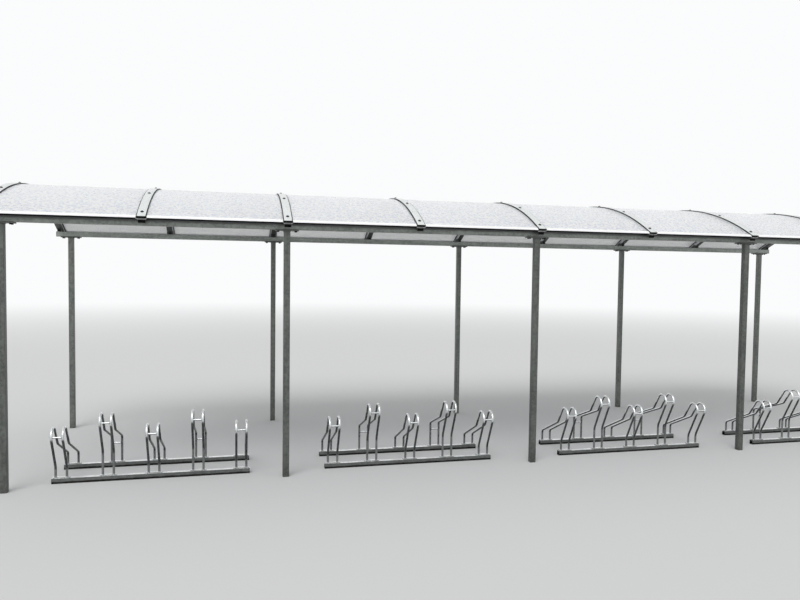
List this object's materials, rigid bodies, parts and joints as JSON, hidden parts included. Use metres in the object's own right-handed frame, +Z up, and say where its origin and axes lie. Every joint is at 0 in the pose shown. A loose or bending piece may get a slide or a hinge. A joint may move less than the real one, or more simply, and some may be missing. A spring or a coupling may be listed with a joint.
{
  "type": "bicycle shelter",
  "caption": "Open bicycle shelter with slim galvanised posts, an arched opal roof on ribs and free-standing racks of low and high wheel places.",
  "frame": {"origin": "on the ground at the middle of the shelter, half way along the row and half way between the two rows of posts", "axes": "+X along the row to the right as seen from the open front, +Y from the front row of posts to the back row, +Z up"},
  "size_m": [8.474, 2.3634, 2.3229],
  "materials": {
    "galvanised_frame": "weathered matt zinc, soft streaks",
    "galvanised_rack": "bright new zinc",
    "opal_sheet": "opal, wet top face",
    "aluminium_trim": "satin mill finish",
    "black_rubber": "matt",
    "black_plugs": "moulded matt black"
  },
  "bodies": {
    "root": {"front_post_1": "galvanised_frame", "front_post_2": "galvanised_frame", "front_post_3": "galvanised_frame", "front_post_4": "galvanised_frame", "front_post_5": "galvanised_frame", "back_post_1": "galvanised_frame", "back_post_2": "galvanised_frame", "back_post_3": "galvanised_frame", "back_post_4": "galvanised_frame", "back_post_5": "galvanised_frame", "head_plates": "galvanised_frame", "front_beam": "galvanised_frame", "back_beam": "galvanised_frame", "rib_1": "galvanised_frame", "rib_2": "galvanised_frame", "rib_3": "galvanised_frame", "rib_4": "galvanised_frame", "rib_5": "galvanised_frame", "rib_6": "galvanised_frame", "rib_7": "galvanised_frame", "rib_8": "galvanised_frame", "rib_9": "galvanised_frame", "rib_cleats": "galvanised_frame", "roof_sheet_1": "opal_sheet", "roof_sheet_2": "opal_sheet", "roof_sheet_3": "opal_sheet", "roof_sheet_4": "opal_sheet", "roof_sheet_5": "opal_sheet", "roof_sheet_6": "opal_sheet", "roof_sheet_7": "opal_sheet", "roof_sheet_8": "opal_sheet", "cover_strips": "aluminium_trim", "base_profiles": "aluminium_trim", "front_edge_profiles": "aluminium_trim", "back_edge_profiles": "aluminium_trim", "rib_beds": "black_rubber", "strip_gaskets": "black_rubber", "front_drip_seals": "black_rubber", "back_drip_seals": "black_rubber", "rib_end_plugs": "black_plugs", "beam_end_caps": "black_plugs", "rack_1_rails": "galvanised_rack", "rack_1_holders": "galvanised_rack", "rack_2_rails": "galvanised_rack", "rack_2_holders": "galvanised_rack", "rack_3_rails": "galvanised_rack", "rack_3_holders": "galvanised_rack", "rack_4_rails": "galvanised_rack", "rack_4_holders": "galvanised_rack", "rack_braces": "galvanised_rack"}
  },
  "joints": []
}
